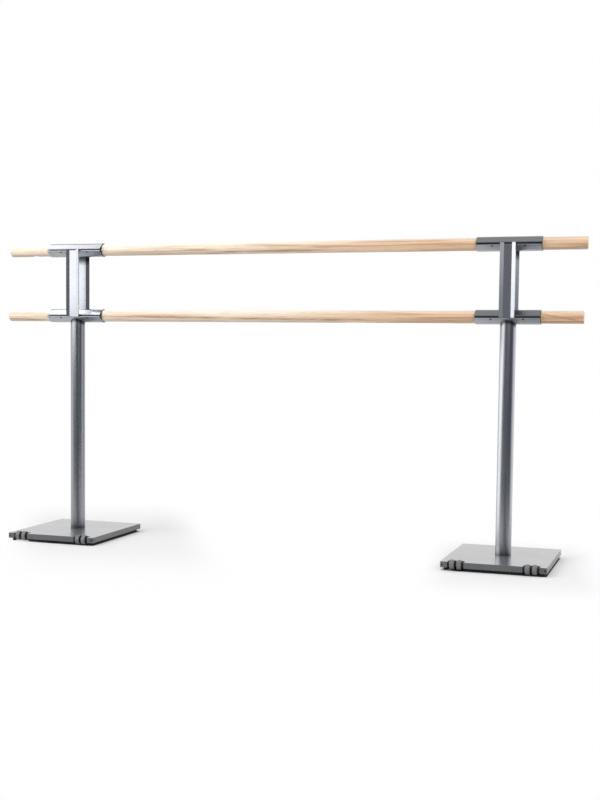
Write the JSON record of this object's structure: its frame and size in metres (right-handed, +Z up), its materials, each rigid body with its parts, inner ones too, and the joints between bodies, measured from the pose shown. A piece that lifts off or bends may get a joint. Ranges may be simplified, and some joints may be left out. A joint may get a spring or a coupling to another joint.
{
  "type": "double ballet barre",
  "caption": "Free-standing double barre: two round wooden bars, one above the other, in split clamps on two weighted stands with transport rollers.",
  "frame": {"origin": "on the floor, under the middle of the overall box", "axes": "+X along the bars to the right-hand stand, +Y to the back, away from the rollers, +Z up"},
  "size_m": [2.007, 0.3712, 1.023],
  "materials": {
    "bar_wood": "pale ash with a thin satin lacquer",
    "column_metal": "silver-grey satin anodised",
    "clamp_metal": "silver-grey satin anodised extrusion",
    "plate_metal": "silver-grey satin",
    "steel": "bright machined",
    "black_steel": "blackened fasteners",
    "rubber": "matt black",
    "roller_plastic": "grey moulded tread"
  },
  "bodies": {
    "frame": {"left_base_pad": "rubber", "left_base_plate": "plate_metal", "left_column": "column_metal", "left_column_bolt": "steel", "left_column_plug": "steel", "left_front_post": "column_metal", "left_left_axle": "steel", "left_left_axle_screw": "black_steel", "left_lower_cap": "clamp_metal", "left_lower_saddle": "clamp_metal", "left_lower_screw_1": "black_steel", "left_lower_screw_2": "black_steel", "left_lower_screw_3": "black_steel", "left_lower_screw_4": "black_steel", "left_rear_post": "column_metal", "left_right_axle": "steel", "left_right_axle_screw": "black_steel", "left_upper_cap": "clamp_metal", "left_upper_saddle": "clamp_metal", "left_upper_screw_1": "black_steel", "left_upper_screw_2": "black_steel", "left_upper_screw_3": "black_steel", "left_upper_screw_4": "black_steel", "lower_bar": "bar_wood", "right_base_pad": "rubber", "right_base_plate": "plate_metal", "right_column": "column_metal", "right_column_bolt": "steel", "right_column_plug": "steel", "right_front_post": "column_metal", "right_left_axle": "steel", "right_left_axle_screw": "black_steel", "right_lower_cap": "clamp_metal", "right_lower_saddle": "clamp_metal", "right_lower_screw_1": "black_steel", "right_lower_screw_2": "black_steel", "right_lower_screw_3": "black_steel", "right_lower_screw_4": "black_steel", "right_rear_post": "column_metal", "right_right_axle": "steel", "right_right_axle_screw": "black_steel", "right_upper_cap": "clamp_metal", "right_upper_saddle": "clamp_metal", "right_upper_screw_1": "black_steel", "right_upper_screw_2": "black_steel", "right_upper_screw_3": "black_steel", "right_upper_screw_4": "black_steel", "upper_bar": "bar_wood"},
    "left_left_roller_left": {"left_left_roller_left": "roller_plastic"},
    "left_left_roller_right": {"left_left_roller_right": "roller_plastic"},
    "left_right_roller_left": {"left_right_roller_left": "roller_plastic"},
    "left_right_roller_right": {"left_right_roller_right": "roller_plastic"},
    "right_left_roller_left": {"right_left_roller_left": "roller_plastic"},
    "right_left_roller_right": {"right_left_roller_right": "roller_plastic"},
    "right_right_roller_left": {"right_right_roller_left": "roller_plastic"},
    "right_right_roller_right": {"right_right_roller_right": "roller_plastic"}
  },
  "joints": [
    {"name": "left_left_roller_left_spin", "type": "hinge", "parent": "frame", "child": "left_left_roller_left", "pos_m": [-0.86395, -0.17025, 0.0182], "axis": [1, 0, 0], "continuous": true},
    {"name": "left_left_roller_right_spin", "type": "hinge", "parent": "frame", "child": "left_left_roller_right", "pos_m": [-0.84205, -0.17025, 0.0182], "axis": [1, 0, 0], "continuous": true},
    {"name": "left_right_roller_left_spin", "type": "hinge", "parent": "frame", "child": "left_right_roller_left", "pos_m": [-0.63595, -0.17025, 0.0182], "axis": [1, 0, 0], "continuous": true},
    {"name": "left_right_roller_right_spin", "type": "hinge", "parent": "frame", "child": "left_right_roller_right", "pos_m": [-0.61405, -0.17025, 0.0182], "axis": [1, 0, 0], "continuous": true},
    {"name": "right_left_roller_left_spin", "type": "hinge", "parent": "frame", "child": "right_left_roller_left", "pos_m": [0.63905, -0.17025, 0.0182], "axis": [1, 0, 0], "continuous": true},
    {"name": "right_left_roller_right_spin", "type": "hinge", "parent": "frame", "child": "right_left_roller_right", "pos_m": [0.66095, -0.17025, 0.0182], "axis": [1, 0, 0], "continuous": true},
    {"name": "right_right_roller_left_spin", "type": "hinge", "parent": "frame", "child": "right_right_roller_left", "pos_m": [0.86705, -0.17025, 0.0182], "axis": [1, 0, 0], "continuous": true},
    {"name": "right_right_roller_right_spin", "type": "hinge", "parent": "frame", "child": "right_right_roller_right", "pos_m": [0.88895, -0.17025, 0.0182], "axis": [1, 0, 0], "continuous": true}
  ]
}
